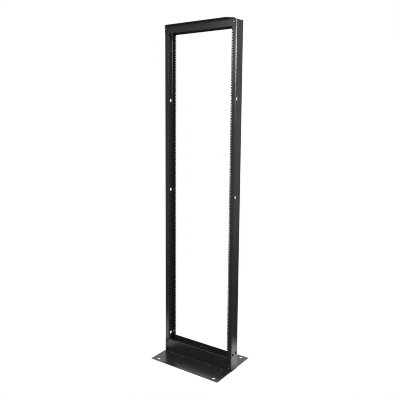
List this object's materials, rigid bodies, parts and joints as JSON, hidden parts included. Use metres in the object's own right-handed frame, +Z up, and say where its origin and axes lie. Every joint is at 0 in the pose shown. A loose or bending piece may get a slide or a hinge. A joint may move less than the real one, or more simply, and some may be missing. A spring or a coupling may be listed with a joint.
{
  "type": "two post open frame rack",
  "caption": "Free-standing equipment rack: channel posts with rows of mounting holes, joined by folded angles across the top and at the floor.",
  "frame": {"origin": "on the floor, midway between the posts and midway front to rear", "axes": "+Z up along the posts, +X to the right and -Y to the front of the rack"},
  "size_m": [0.5206, 0.381, 2.14],
  "materials": {
    "black_powder_coat": "semi-gloss black powder coat"
  },
  "bodies": {
    "root": {"left_upright": "black_powder_coat", "right_upright": "black_powder_coat", "front_top_angle": "black_powder_coat", "rear_top_angle": "black_powder_coat", "front_base_angle": "black_powder_coat", "rear_base_angle": "black_powder_coat"}
  },
  "joints": []
}
